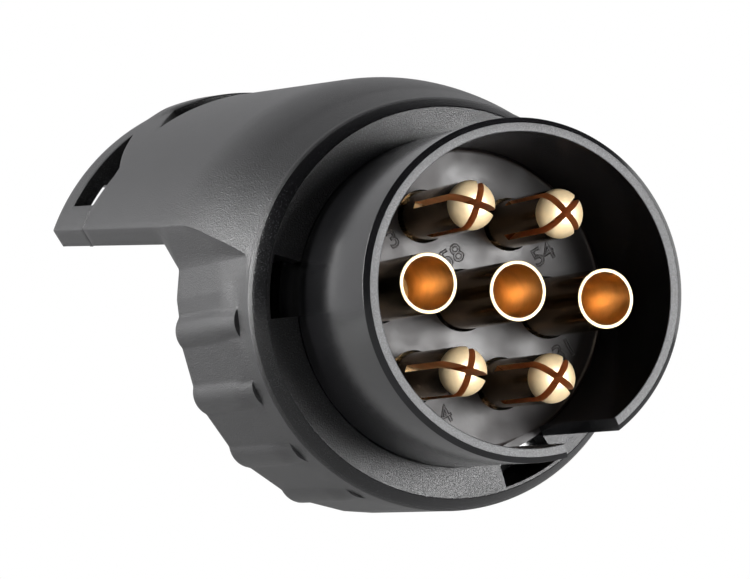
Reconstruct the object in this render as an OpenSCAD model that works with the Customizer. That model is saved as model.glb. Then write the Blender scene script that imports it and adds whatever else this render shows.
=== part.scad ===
// Compact trailer adapter: a seven-pole plug at the front (-Y) and a thirteen-pole socket
// under a half-round hood at the back (+Y). Z is up. The origin is on the plug's axis, in
// the plane of the collar face that meets the vehicle's socket. All sizes are millimetres.

/* [Plug nose] */
// Outer diameter of the shroud round the plug contacts
nose_d = 38.5; // [38:0.1:39]
// Length of the shroud in front of the collar face
nose_len = 22; // [21:0.5:24]
// Wall thickness of the shroud
nose_wall = 1.45; // [1.2:0.05:1.6]
// Depth of the contact floor below the rim
floor_depth = 19.1; // [18:0.1:19.5]
// Direction of the key slot, from +X towards +Z
key_angle = 299; // [297:1:301]
// Width of the key slot
key_w = 7.1; // [6:0.1:8]

/* [Plug contacts] */
// Distance between neighbouring contacts
contact_pitch = 10.87; // [10.8:0.01:10.9]
// Diameter of the split pins
pin_d = 5.7; // [5.6:0.05:5.8]
// Outer diameter of the tube contacts
tube_d = 6.9; // [6.8:0.05:7]
// Bore diameter of the tube contacts
tube_bore_d = 5.85; // [5.8:0.05:5.9]
// Depth of the tube bores
tube_bore_len = 14; // [12:1:15]
// Distance of the contact tips below the rim
tip_setback = 2.5; // [2:0.1:4]
// Width of the cross slots in the pins
slot_w = 0.8; // [0.6:0.1:0.9]
// Length of the cross slots in the pins
slot_len = 12.5; // [10:0.5:13]

/* [Collar and grip] */
// Diameter of the collar
collar_d = 50; // [49:0.5:50]
// Outer diameter of the flat collar face
collar_face_d = 46.4; // [46:0.1:47]
// Length from the collar face to the front ends of the ribs
rib_start = 6.3; // [5:0.1:7]
// Length from the collar face to the back of the grip
grip_len = 28; // [28:1:30]
// Distance of the grip's flats from its centre line
grip_r = 24.7; // [24.6:0.1:24.8]
// Distance of the rib crests from the grip's centre line
crest_r = 25.4; // [25.2:0.1:25.5]
// Radius of a rib's round crest
rib_r = 3; // [2.8:0.1:3.2]
// Angle between neighbouring ribs
rib_step = 20; // [20:1:20]

/* [Hood] */
// Outer diameter of the hood
hood_d = 57.5; // [57:0.5:58]
// Wall thickness of the hood
hood_wall = 2.1; // [2:0.1:2.3]
// Length of the hood behind the grip
hood_len = 50.6; // [48:0.1:54]
// Upward tilt of the hood's axis
hood_tilt = 4.2; // [4:0.1:4.4]
// Height of the hood's axis over the plug's axis at the back of the grip
hood_rise = 1; // [0.9:0.1:1.1]
// Distance of the windows' front edges behind the grip
window_start = 36; // [34:0.5:36]
// Length of the windows along the hood
window_len = 9.3; // [8:0.1:9.5]

/* [Thirteen-pole socket] */
// Diameter of the contact tower
tower_d = 31; // [30:0.5:31]
// Length of the tower behind the grip
tower_len = 14; // [12:1:16]
// Radius of the outer ring of eight poles
outer_ring_r = 11.2; // [11:0.1:11.4]
// Radius of the inner ring of five poles
inner_ring_r = 4.9; // [4.8:0.1:5]
// Bore diameter of the socket sleeves
sleeve_bore_d = 3.2; // [3:0.1:3.2]

/* [Hidden] */
$fn = 96;

eps = 0.1;
plastic = [0.17, 0.17, 0.18];
dark_plastic = [0.11, 0.11, 0.12];
brass = [0.85, 0.68, 0.38];
steel = [0.7, 0.7, 0.72];

// Front: nose and its contacts
nose_r = nose_d / 2;
floor_y = floor_depth - nose_len;
tip_y = tip_setback - nose_len;
front_wall = 3.2;
bore_gap = 0.15;
nose_root_r = nose_r - 0.35;
flange_r = 20.5;
nose_back = 6;
shoulder_y = 3;
pin_r = pin_d / 2;
tube_r = tube_d / 2;
shoulder_r = 4.2;
hole_gap = 0.1;
neck_step = 0.25;
tail_r = 1.5;
tail_end = 10;
row_z = contact_pitch * sin(60);
half_pitch = contact_pitch / 2;
pin_places = [[-half_pitch, row_z], [half_pitch, row_z], [-half_pitch, -row_z], [half_pitch, -row_z]];
tube_places = [[-contact_pitch, 0], [0, 0], [contact_pitch, 0]];
// Angle between a pin's slots and the start of its turned wall
seam_angle = 47;
pin_dome = 1.9;
retainer_t = 2;
retainer_r = 18.5;
screw_r = 1.1;
screw_core_r = 0.85;
screw_foot_y = 1.5;
screw_head_t = 1.3;
screw_ring_r = contact_pitch / sqrt(3);
screw_angles = [90, 210, 330];

// Collar windows that key the nose
window_angles = [60, 180, 300];
pocket_in_r = 19;
pocket_r = 22.8;
pocket_arc = 19;
tab_arc = 13;
tab_t = 1.2;

// Grip
grip_rise = 0.3;
rib_half_arc = 4.5;
side_flat_x = 25.1;
shoulder_z = 3.7;
facet_run = 2.42;
facet_height = 5.13;
facet_reach = 7;

// Hood
hood_r = hood_d / 2;
hood_in_r = hood_r - hood_wall;
blend_y = 14.2;
blend_r = 28.2;
lip_r = 25;
lip_w = 10.6;
strip_arc = 64;
gusset_x = 23;
gusset_len = 4;
gusset_low = 2;
gusset_high = 5.7;
gusset_top = 9;
rim_start = window_start + window_len;
strip_start = rim_start + 0.2;
bulge = 0.35;
cavity_front_r = 20.6;
cavity_front_len = 21;
cavity_back_r = 21.5;

// Socket, measured along the hood's axis from the back of the grip
insert_s = -6;
insert_flange_t = 2.5;
seal_t = 1.2;
sleeve_r = 2.2;
collar_r = 2.5;
collar_t = 1.4;
sleeve_s = tower_len - 1;
sleeve_tail_r = 1.2;
sleeve_tail_s = -10.5;
plate_t = 2;
plate_r = 15;
bridge_t = 0.6;
bridge_w = 4;
groove_w = 3.2;
groove_depth = 1.3;
insert_gap = 0.2;
wire_r = 0.9;

// Pole angles: eight outer, then five inner
outer_angles = [for (k = [0:7]) 22.5 + 45 * k];
inner_angles = [for (k = [0:4]) 90 + 72 * k];
poles = concat(
    [for (a = outer_angles) outer_ring_r * [cos(a), sin(a)]],
    [for (a = inner_angles) inner_ring_r * [cos(a), sin(a)]]
);
// Poles that hold a sleeve: six outer ones and two inner ones
used_poles = [0, 1, 2, 3, 5, 6, 8, 9];
// Plug contacts in the order of their wires
plug_places = [
    [contact_pitch, 0], [half_pitch, row_z], [-half_pitch, row_z], [-contact_pitch, 0],
    [-half_pitch, -row_z], [half_pitch, -row_z], [0, 0]
];

// Local +Z along the row's +Y
module along_y() {
    rotate([-90, 0, 0]) children();
}

// Local +Y along the hood's axis, zero at the back of the grip
module on_hood_axis() {
    translate([0, grip_len, hood_rise]) rotate([hood_tilt, 0, 0]) children();
}

// An outline in X and Z, drawn out along Y
module xz_prism(y0, y1) {
    translate([0, y1, 0]) rotate([90, 0, 0]) linear_extrude(y1 - y0) children();
}

// A ring sector about Y, centred on an angle from +X towards +Z
module sector(r0, r1, y0, y1, angle, arc) {
    along_y() rotate([0, 0, -angle - arc / 2])
        rotate_extrude(angle = arc)
            polygon([[r0, y0], [r1, y0], [r1, y1], [r0, y1]]);
}

// A rod with round ends between two points
module rod(a, b, r) {
    d = b - a;
    len = norm(d);
    start = [for (t = [0:22.5:90]) r * [sin(t), -cos(t)]];
    finish = [for (t = [0:22.5:90]) [r * cos(t), len + r * sin(t)]];
    translate(a) rotate([0, acos(d.z / len), atan2(d.y, d.x)])
        rotate_extrude() polygon(concat(start, finish));
}

// The space over the two slanted side facets
module over_facets(base_z) {
    out = side_flat_x + facet_reach * facet_run;
    top = base_z + facet_reach * facet_height;
    polygon([[-side_flat_x, base_z], [side_flat_x, base_z], [out, top], [-out, top]]);
}

// Outer form of the collar: flat face, chamfer and band
module collar_form() {
    chamfer = (collar_d - collar_face_d) / 2;
    along_y() rotate_extrude()
        polygon([
            [0, 0], [collar_face_d / 2, 0], [collar_d / 2 - 0.5, chamfer],
            [collar_d / 2, chamfer + 0.6], [collar_d / 2, rib_start + 0.7], [0, rib_start + 0.7]
        ]);
}

// Grip below the hood: flats with round ribs between them
module grip_form() {
    corner_r = grip_r / cos(rib_step / 2 - rib_half_arc);
    corners = [for (a = [190:rib_step:350]) for (e = [-rib_half_arc, rib_half_arc])
        [corner_r * cos(a + e), grip_rise + corner_r * sin(a + e)]];
    sides = [[side_flat_x, 0], [side_flat_x, shoulder_z], [-side_flat_x, shoulder_z], [-side_flat_x, 0]];
    xz_prism(rib_start - 1, grip_len) polygon(concat(corners, sides));
    for (a = [190:rib_step:350])
        translate([(crest_r - rib_r) * cos(a), rib_start, grip_rise + (crest_r - rib_r) * sin(a)])
            along_y() cylinder(h = grip_len - rib_start, r = rib_r);
}

// Upper body: a cone from the collar, then the tilted hood
module upper_form() {
    intersection() {
        union() {
            translate([0, 2, 0]) along_y() cylinder(h = blend_y - 2, r1 = collar_d / 2 - 0.1, r2 = blend_r);
            on_hood_axis() along_y() rotate_extrude()
                polygon([
                    [0, blend_y - grip_len], [blend_r, blend_y - grip_len],
                    [hood_r, -5], [hood_r, 3], [0, 3]
                ]);
        }
        xz_prism(0, grip_len) over_facets(shoulder_z);
    }
    on_hood_axis() intersection() {
        along_y() cylinder(h = hood_len, r = hood_r);
        xz_prism(-eps, hood_len + 1) over_facets(shoulder_z - hood_rise);
    }
    // Strip behind the top window
    on_hood_axis() sector(hood_r - 1, hood_r + bulge, strip_start, hood_len, 90, strip_arc);
}

// Room inside the hood, less a gusset at each side of the grip
module hood_room() {
    half = hood_in_r - gusset_x;
    on_hood_axis() difference() {
        along_y() cylinder(h = hood_len + 5, r = hood_in_r);
        for (side = [-1, 1])
            translate([side * hood_in_r, 0, 0]) rotate([0, 0, 90]) xz_prism(-half, half)
                polygon([
                    [-1, gusset_low], [0, gusset_low], [gusset_len, gusset_high],
                    [gusset_len, gusset_top], [-1, gusset_top]
                ]);
    }
}

// Lip inside the back edge of the hood
module hood_lip() {
    on_hood_axis() intersection() {
        difference() {
            translate([0, strip_start, 0])
                along_y() cylinder(h = hood_len - strip_start, r = hood_in_r + 0.5);
            translate([0, rim_start, 0]) along_y() cylinder(h = hood_len, r = lip_r);
        }
        translate([-30, 0, lip_w]) cube([60, 60, 30]);
    }
}

// A window through the hood's wall: points are [along the hood, across the wall]
module hood_window(angle, depth_from, points) {
    on_hood_axis() along_y() rotate([0, 0, -angle]) rotate([0, 90, 0])
        translate([0, 0, depth_from]) linear_extrude(35 - depth_from)
            polygon([for (p = points) [-p[0], -p[1]]]);
}

module hood_windows() {
    side_low = 5.98;
    side_high = -6.5;
    top_half = 18.1;
    top_back_half = 13.6;
    side = [[window_start, side_low], [rim_start, side_low], [rim_start, side_high], [window_start - 1, 0.1],
        [window_start - 1.5, 1.4]];
    hood_window(145, 20, side);
    hood_window(35, 20, [for (p = side) [p[0], -p[1]]]);
    hood_window(90, 15, [[window_start, top_half], [rim_start, top_back_half],
        [rim_start, -top_back_half], [window_start, -top_half]]);
}

// Rooms for the nose flange, the wires and the socket insert
module grip_room() {
    along_y() translate([0, 0, -1]) cylinder(h = front_wall + 2, r = nose_r + bore_gap);
    translate([0, front_wall, 0]) along_y() cylinder(h = cavity_front_len, r = cavity_front_r);
    on_hood_axis() translate([0, insert_s, 0]) along_y() cylinder(h = 10, r = cavity_back_r);
}

module housing() {
    color(plastic) {
        difference() {
            union() {
                collar_form();
                grip_form();
                upper_form();
            }
            grip_room();
            hood_room();
            hood_windows();
            for (a = window_angles) sector(pocket_in_r, pocket_r, -1, front_wall + eps, a, pocket_arc);
        }
        difference() {
            hood_lip();
            hood_windows();
        }
    }
}

module plug_nose() {
    in_r = nose_r - nose_wall;
    color(dark_plastic) {
        difference() {
            translate([0, -nose_len, 0]) along_y() rotate_extrude()
                polygon([
                    [0, floor_depth], [in_r, floor_depth], [in_r, 0.05], [in_r + 0.05, 0],
                    [nose_r - 0.48, 0.62], [nose_r, 1.2], [nose_r, nose_len],
                    [nose_root_r, nose_len], [nose_root_r, nose_len + front_wall],
                    [flange_r, nose_len + front_wall], [flange_r, nose_len + nose_back],
                    [0, nose_len + nose_back]
                ]);
            rotate([0, -key_angle, 0]) translate([in_r - 0.3, -nose_len - 1, -key_w / 2])
                cube([4, nose_len + 1, key_w]);
            for (p = pin_places) contact_hole(p, pin_r);
            for (p = tube_places) contact_hole(p, tube_r);
            for (a = screw_angles)
                translate([screw_ring_r * cos(a), 1, screw_ring_r * sin(a)])
                    along_y() cylinder(h = 10, r = screw_core_r);
        }
        for (a = window_angles)
            sector(nose_root_r - 1, pocket_r - 0.5, front_wall - tab_t, front_wall, a, tab_arc);
    }
}

// Stepped hole for one contact, with room for its shoulder
module contact_hole(place, r) {
    translate([place[0], floor_y - 1, place[1]]) along_y() cylinder(h = 20, r = r + hole_gap);
    translate([place[0], shoulder_y, place[1]]) along_y() cylinder(h = 20, r = shoulder_r + hole_gap);
}

// Turned stem behind a contact: neck in the floor, shoulder and tail
function stem(r) = [
    [r, floor_y - tip_y], [r - neck_step, floor_y - tip_y], [r - neck_step, shoulder_y - tip_y],
    [shoulder_r, shoulder_y - tip_y], [shoulder_r, nose_back - tip_y],
    [tail_r, nose_back - tip_y], [tail_r, tail_end - tip_y], [0, tail_end - tip_y]
];

module split_pin(place, slot_angle) {
    dome = [for (t = [0:15:90]) [pin_r - pin_dome + pin_dome * sin(t), pin_dome * (1 - cos(t))]];
    color(brass) translate([place[0], tip_y, place[1]]) rotate([0, seam_angle - slot_angle, 0])
        difference() {
            along_y() rotate_extrude() polygon(concat([[0, 0]], dome, stem(pin_r)));
            for (turn = [0, 90])
                rotate([0, -seam_angle - turn, 0]) translate([-pin_d, -1, -slot_w / 2])
                    cube([2 * pin_d, slot_len + 1, slot_w]);
        }
}

module tube_contact(place) {
    edge = 0.15;
    color(brass) translate([place[0], tip_y, place[1]]) along_y() rotate_extrude()
        polygon(concat(
            [[0, tube_bore_len + 1], [tube_bore_d / 2, tube_bore_len], [tube_bore_d / 2, 0],
                [tube_r - edge, 0], [tube_r, edge]],
            stem(tube_r)
        ));
}

module contact_retainer() {
    color(dark_plastic) translate([0, nose_back, 0]) difference() {
        along_y() cylinder(h = retainer_t, r = retainer_r);
        for (p = concat(pin_places, tube_places))
            translate([p[0], -1, p[1]]) along_y() cylinder(h = 5, r = tail_r + hole_gap);
        for (a = screw_angles)
            translate([screw_ring_r * cos(a), -1, screw_ring_r * sin(a)])
                along_y() cylinder(h = 5, r = screw_r + hole_gap);
    }
}

module retainer_screws() {
    head_y = nose_back + retainer_t;
    color(steel) for (a = screw_angles)
        translate([screw_ring_r * cos(a), 0, screw_ring_r * sin(a)]) difference() {
            union() {
                translate([0, screw_foot_y, 0])
                    along_y() cylinder(h = nose_back - screw_foot_y, r = screw_core_r);
                translate([0, nose_back, 0]) along_y() cylinder(h = retainer_t + eps, r = screw_r);
                translate([0, head_y, 0]) along_y() cylinder(h = screw_head_t, r1 = 2, r2 = 1.7);
            }
            for (turn = [0, 90])
                rotate([0, turn, 0]) translate([-1.2, head_y + 0.5, -0.25]) cube([2.4, 3, 0.5]);
        }
}

module socket_insert() {
    color(dark_plastic) on_hood_axis() difference() {
        along_y() rotate_extrude()
            polygon([
                [0, insert_s], [cavity_back_r - insert_gap, insert_s],
                [cavity_back_r - insert_gap, insert_s + insert_flange_t],
                [tower_d / 2, insert_s + insert_flange_t],
                [tower_d / 2, tower_len - 0.8], [tower_d / 2 - 0.8, tower_len], [0, tower_len]
            ]);
        for (p = poles) {
            translate([p[0], insert_s - 1, p[1]])
                along_y() cylinder(h = tower_len + 10, r = sleeve_r + hole_gap);
            translate([p[0], insert_s - 1, p[1]])
                along_y() cylinder(h = 1 + collar_t, r = collar_r + hole_gap);
        }
        // Key groove along the top of the tower
        translate([-groove_w / 2, 0, tower_d / 2 - groove_depth])
            cube([groove_w, tower_len + 1, 2 * groove_depth]);
    }
}

module socket_seal() {
    s = insert_s + insert_flange_t;
    in_r = tower_d / 2 + hole_gap;
    out_r = cavity_back_r - insert_gap - hole_gap;
    color([0.05, 0.05, 0.05]) on_hood_axis() along_y() rotate_extrude()
        polygon([[in_r, s], [out_r, s], [out_r, s + seal_t], [in_r, s + seal_t]]);
}

module sleeve_plate() {
    color(dark_plastic) on_hood_axis() difference() {
        translate([0, insert_s - plate_t, 0]) along_y() cylinder(h = plate_t, r = plate_r);
        for (p = poles)
            translate([p[0], insert_s - plate_t - 1, p[1]])
                along_y() cylinder(h = plate_t + 2, r = sleeve_tail_r + hole_gap);
    }
}

// Brass strip that ties the two earth sleeves together
module earth_bridge() {
    a = poles[used_poles[6]];
    b = poles[used_poles[7]];
    turn = atan2(b[1] - a[1], b[0] - a[0]);
    color(brass) on_hood_axis() translate([0, insert_s - plate_t - bridge_t, 0]) difference() {
        translate([a[0], 0, a[1]]) rotate([0, -turn, 0]) translate([-bridge_w / 2, 0, -bridge_w / 2])
            cube([norm(b - a) + bridge_w, bridge_t, bridge_w]);
        for (p = [a, b])
            translate([p[0], -1, p[1]]) along_y() cylinder(h = 3, r = sleeve_tail_r + 0.05);
    }
}

module socket_sleeve(index) {
    p = poles[used_poles[index]];
    bore_r = sleeve_bore_d / 2;
    color(brass) on_hood_axis() translate([p[0], 0, p[1]]) along_y() rotate_extrude()
        polygon([
            [0, sleeve_tail_s], [sleeve_tail_r, sleeve_tail_s], [sleeve_tail_r, insert_s],
            [collar_r, insert_s], [collar_r, insert_s + collar_t], [sleeve_r, insert_s + collar_t],
            [sleeve_r, sleeve_s - 0.3], [sleeve_r - 0.2, sleeve_s], [bore_r, sleeve_s],
            [bore_r, sleeve_s - 12], [0, sleeve_s - 13]
        ]);
}

// Insulated wire from a plug contact's tail to a sleeve's tail
module link_wire(index, tint) {
    gap = wire_r + 0.05;
    from = plug_places[index];
    to = poles[used_poles[index]];
    s = sleeve_tail_s - gap;
    color(tint) rod(
        [from[0], tail_end + gap, from[1]],
        [to[0], grip_len + s * cos(hood_tilt) - to[1] * sin(hood_tilt),
            hood_rise + s * sin(hood_tilt) + to[1] * cos(hood_tilt)],
        wire_r
    );
}

housing();
plug_nose();
split_pin(pin_places[0], 76);  // split_pin_upper_left
split_pin(pin_places[1], 47);  // split_pin_upper_right
split_pin(pin_places[2], 78);  // split_pin_lower_left
split_pin(pin_places[3], 60);  // split_pin_lower_right
tube_contact(tube_places[0]);  // tube_contact_left
tube_contact(tube_places[1]);  // tube_contact_centre
tube_contact(tube_places[2]);  // tube_contact_right
contact_retainer();
retainer_screws();
socket_insert();
socket_seal();
sleeve_plate();
earth_bridge();
for (i = [0:7])
    socket_sleeve(i);
link_wire(0, "gold");  // link_wire_1
link_wire(1, "royalblue");  // link_wire_2
link_wire(2, "white");  // link_wire_3
link_wire(3, "green");  // link_wire_4
link_wire(4, "saddlebrown");  // link_wire_5
link_wire(5, "red");  // link_wire_6
link_wire(6, "black");  // link_wire_7
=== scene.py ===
"""The looks of a trailer socket adapter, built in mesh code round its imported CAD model."""
import math

import bmesh
import bpy
import numpy as np
from mathutils import Matrix, Vector


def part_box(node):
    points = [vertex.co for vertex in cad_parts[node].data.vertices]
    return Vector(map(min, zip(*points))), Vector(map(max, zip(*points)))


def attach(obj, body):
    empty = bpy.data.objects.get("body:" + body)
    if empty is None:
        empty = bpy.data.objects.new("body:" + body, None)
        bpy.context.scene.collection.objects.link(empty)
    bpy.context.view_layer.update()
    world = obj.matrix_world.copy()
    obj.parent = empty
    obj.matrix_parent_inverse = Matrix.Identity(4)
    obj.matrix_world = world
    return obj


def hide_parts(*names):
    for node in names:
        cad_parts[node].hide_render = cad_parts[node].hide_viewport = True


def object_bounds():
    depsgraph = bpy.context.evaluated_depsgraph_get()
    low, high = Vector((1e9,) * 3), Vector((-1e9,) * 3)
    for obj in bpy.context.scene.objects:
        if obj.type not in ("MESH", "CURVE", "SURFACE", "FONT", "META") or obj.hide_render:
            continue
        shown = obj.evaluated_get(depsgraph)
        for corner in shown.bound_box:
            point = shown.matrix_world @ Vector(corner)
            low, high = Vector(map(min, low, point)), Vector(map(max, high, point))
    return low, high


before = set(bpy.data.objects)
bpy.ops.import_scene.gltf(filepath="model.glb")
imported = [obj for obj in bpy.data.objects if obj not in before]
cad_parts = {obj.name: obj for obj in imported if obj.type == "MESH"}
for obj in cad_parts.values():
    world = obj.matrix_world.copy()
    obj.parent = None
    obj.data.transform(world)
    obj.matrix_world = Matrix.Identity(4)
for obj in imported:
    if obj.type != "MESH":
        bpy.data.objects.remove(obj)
cad_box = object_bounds()

MM = 0.001
WELD = 2e-6
SHARP = math.radians(28)


# ---------------------------------------------------------------- mesh tools

def in_mm(node):
    """Lowest and highest corner of a CAD node in millimetres."""
    low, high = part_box(node)
    return low / MM, high / MM


def new_piece(name, points, faces, materials, slot, replaced=()):
    """A mesh from points in millimetres, riding on the root body."""
    mesh = bpy.data.meshes.new(name)
    mesh.from_pydata([[MM * c for c in p] for p in points], [], faces)
    for material in materials:
        mesh.materials.append(material)
    obj = bpy.data.objects.new(name, mesh)
    bpy.context.scene.collection.objects.link(obj)
    if slot:
        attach(obj, "root")
    if replaced:
        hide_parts(*replaced)
    return obj


def weld(obj):
    """Joins points that coincide and turns every face outwards."""
    bm = bmesh.new()
    bm.from_mesh(obj.data)
    bmesh.ops.remove_doubles(bm, verts=bm.verts, dist=WELD)
    bmesh.ops.dissolve_degenerate(bm, edges=bm.edges, dist=WELD)
    bmesh.ops.recalc_face_normals(bm, faces=bm.faces)
    bm.to_mesh(obj.data)
    bm.free()


def shade(obj, angle=SHARP):
    """Smooth shading, with edges sharper than the angle kept crisp."""
    mesh = obj.data
    mesh.shade_smooth()
    mesh.set_sharp_from_angle(angle=angle)


def bake_modifiers(obj):
    """Puts the result of the object's modifiers into its mesh."""
    bpy.context.view_layer.update()
    graph = bpy.context.evaluated_depsgraph_get()
    mesh = bpy.data.meshes.new_from_object(obj.evaluated_get(graph))
    obj.modifiers.clear()
    obj.data = mesh


def cut(obj, cutters):
    """Takes the cutters' volume out of the object."""
    for cutter in cutters:
        step = obj.modifiers.new("cut", "BOOLEAN")
        step.object = cutter
        step.operation = "DIFFERENCE"
        step.solver = "EXACT"
    bake_modifiers(obj)
    for cutter in cutters:
        bpy.data.objects.remove(cutter)


def bevel_edges(obj, width, wanted):
    """Rounds the edges that the test picks."""
    bm = bmesh.new()
    bm.from_mesh(obj.data)
    layer = bm.edges.layers.float.new("bevel_weight_edge")
    for edge in bm.edges:
        edge[layer] = 1.0 if wanted(edge) else 0.0
    bm.to_mesh(obj.data)
    bm.free()
    step = obj.modifiers.new("edges", "BEVEL")
    step.limit_method = "WEIGHT"
    step.width = width * MM
    step.segments = 2
    step.use_clamp_overlap = False
    step.miter_outer = "MITER_ARC"
    bake_modifiers(obj)


def is_crease(edge, angle):
    return len(edge.link_faces) == 2 and edge.calc_face_angle(0.0) > angle


class Skin:
    """A surface put together from grids of points, in millimetres."""

    def __init__(self):
        self.points = []
        self.faces = []

    def grid(self, rows, closed=False, skip=None):
        """Quads between rows of points; closed joins each row's end to its start."""
        rows = np.asarray(rows, float)
        count, width = rows.shape[:2]
        start = len(self.points)
        self.points += rows.reshape(-1, 3).tolist()
        for j in range(count - 1):
            for i in range(width if closed else width - 1):
                if skip and skip(j, i):
                    continue
                a = start + j * width + i
                b = start + j * width + (i + 1) % width
                self.faces.append((a, b, b + width, a + width))

    def face(self, points):
        start = len(self.points)
        self.points += [list(p) for p in points]
        self.faces.append(tuple(range(start, start + len(points))))


def lathe_rows(profile, steps):
    """Rows for a profile of (radius, y) turned about the Y axis."""
    turn = np.arange(steps) * 2 * math.pi / steps
    return [
        np.stack([r * np.cos(turn), np.full(steps, y), r * np.sin(turn)], 1)
        for r, y in profile
    ]


def softened(profile, radii, steps=3):
    """The profile with an arc at each corner whose index has a radius in radii."""
    out = []
    last = len(profile) - 1
    for k, point in enumerate(profile):
        radius = radii.get(k, 0)
        if k in (0, last) or not radius:
            out.append(tuple(point))
            continue
        here = np.array(point, float)
        back = np.array(profile[k - 1], float) - here
        ahead = np.array(profile[k + 1], float) - here
        back_len, ahead_len = np.linalg.norm(back), np.linalg.norm(ahead)
        back, ahead = back / back_len, ahead / ahead_len
        half = math.acos(np.clip(back @ ahead, -1, 1)) / 2
        reach = min(radius / math.tan(half), 0.45 * back_len, 0.45 * ahead_len)
        for t in np.linspace(0, 1, steps + 1):
            a = here + back * reach * (1 - t) ** 2 + ahead * reach * t ** 2
            out.append(tuple(a))
    return out


def lathe(name, profile, materials, slot, replaced=(), steps=96, place=(0, 0)):
    """A closed turned piece on an axis along Y through (x, z)."""
    skin = Skin()
    skin.grid(lathe_rows(profile, steps), closed=True)
    points = np.array(skin.points) + [place[0], 0, place[1]]
    obj = new_piece(name, points, skin.faces, materials, slot, replaced)
    weld(obj)
    return obj


def block(size, centre, turn):
    """A box to cut with, turned about the Y axis."""
    bm = bmesh.new()
    bmesh.ops.create_cube(bm, size=1.0)
    spot = Matrix.Translation(Vector(centre) * MM) @ Matrix.Diagonal(Vector(size) * MM).to_4x4()
    bm.transform(Matrix.Rotation(turn, 4, "Y") @ spot)
    mesh = bpy.data.meshes.new("cutter")
    bm.to_mesh(mesh)
    bm.free()
    obj = bpy.data.objects.new("cutter", mesh)
    bpy.context.scene.collection.objects.link(obj)
    return obj


# ------------------------------------------------------------ material tools

class Finish:
    """A procedural material: a Principled shader with helpers for its inputs."""

    def __init__(self, name, **values):
        self.material = bpy.data.materials.new(name)
        self.material.use_nodes = True
        self.tree = self.material.node_tree
        self.shader = next(n for n in self.tree.nodes if n.type == "BSDF_PRINCIPLED")
        self.place = self.node("ShaderNodeTexCoord").outputs["Object"]
        for key, value in values.items():
            self.shader.inputs[key.replace("_", " ")].default_value = value

    def node(self, kind, **settings):
        made = self.tree.nodes.new(kind)
        for key, value in settings.items():
            setattr(made, key, value)
        return made

    def link(self, out, socket):
        self.tree.links.new(out, socket)

    def noise(self, size, detail=2.0, stretch=(1, 1, 1)):
        """Noise whose grains are about this many millimetres across."""
        fit = self.node("ShaderNodeMapping")
        fit.inputs["Scale"].default_value = [s / (size * MM) for s in stretch]
        self.link(self.place, fit.inputs["Vector"])
        made = self.node("ShaderNodeTexNoise")
        made.inputs["Scale"].default_value = 1.0
        made.inputs["Detail"].default_value = detail
        self.link(fit.outputs["Vector"], made.inputs["Vector"])
        return made.outputs["Fac"]

    def ramp(self, value, *stops):
        """A colour or grey ramp with (position, colour) stops."""
        made = self.node("ShaderNodeValToRGB")
        bar = made.color_ramp
        while len(bar.elements) < len(stops):
            bar.elements.new(0.5)
        for element, (spot, colour) in zip(bar.elements, stops):
            is_grey = isinstance(colour, (int, float))
            element.position = spot
            element.color = (*([colour] * 3 if is_grey else colour), 1)
        self.link(value, made.inputs["Fac"])
        return made.outputs["Color"]

    def multiply(self, first, second):
        """One colour times another."""
        made = self.node("ShaderNodeMix", data_type="RGBA", blend_type="MULTIPLY")
        made.inputs["Factor"].default_value = 1.0
        self.link(first, made.inputs["A"])
        self.link(second, made.inputs["B"])
        return made.outputs["Result"]

    def colour(self, out):
        self.link(out, self.shader.inputs["Base Color"])

    def roughness(self, value, low, high):
        spread = self.node("ShaderNodeMapRange")
        spread.inputs["To Min"].default_value = low
        spread.inputs["To Max"].default_value = high
        self.link(value, spread.inputs["Value"])
        self.link(spread.outputs["Result"], self.shader.inputs["Roughness"])

    def bumps(self, *layers):
        """Bump from (height, depth in mm, strength) layers, one over the other."""
        last = None
        for height, depth, strength in layers:
            made = self.node("ShaderNodeBump")
            made.inputs["Distance"].default_value = depth * MM
            made.inputs["Strength"].default_value = strength
            self.link(height, made.inputs["Height"])
            if last:
                self.link(last, made.inputs["Normal"])
            last = made.outputs["Normal"]
        self.link(last, self.shader.inputs["Normal"])


def toned(colour, factor):
    """The colour made darker or lighter."""
    return [c * factor for c in colour]


def textured_plastic(name, base, grain, depth, rough, sparkle):
    """Moulded plastic with a fine eroded texture and faint larger clouds."""
    f = Finish(name)
    fine = f.noise(grain, detail=3)
    clouds = f.noise(9, detail=3)
    specks = f.ramp(fine, (0.38, toned(base, 0.55)), (0.55, base), (0.7, toned(base, sparkle)))
    f.colour(f.multiply(specks, f.ramp(clouds, (0.3, 0.85), (0.7, 1.12))))
    f.roughness(fine, rough[0], rough[1])
    f.bumps((f.noise(grain * 5, detail=2), depth * 1.5, 0.1), (fine, depth, 1.0))
    return f.material


def smooth_plastic(name, base, rough, scratch=0.5, shine=0.5, patchy=False):
    """Smooth moulded plastic with scuffs; patchy plastic has dull and bright areas."""
    f = Finish(name, Specular_IOR_Level=shine)
    clouds = f.noise(5, detail=4)
    scuffs = f.noise(0.5, detail=4, stretch=(1, 0.2, 1))
    f.colour(f.ramp(clouds, (0.3, toned(base, 0.8)), (0.7, toned(base, 1.25))))
    dull = f.ramp(clouds, (0.36, 0.0), (0.62, 1.0)) if patchy else scuffs
    f.roughness(dull, rough[0], rough[1])
    f.bumps((clouds, 0.05, 0.15), (scuffs, 0.012, scratch))
    return f.material


def turned_brass(name, base, rough, streak=(1, 12, 1), metal=1.0):
    """Turned metal with faint stains and fine marks; streak stretches the marks."""
    f = Finish(name, Metallic=metal)
    marks = f.noise(1.0, detail=3, stretch=streak)
    stain = f.noise(1.6, detail=4)
    f.colour(f.ramp(stain, (0.3, toned(base, 0.8)), (0.65, base)))
    f.roughness(marks, rough[0], rough[1])
    f.bumps((marks, 0.02, 0.35))
    return f.material


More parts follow.
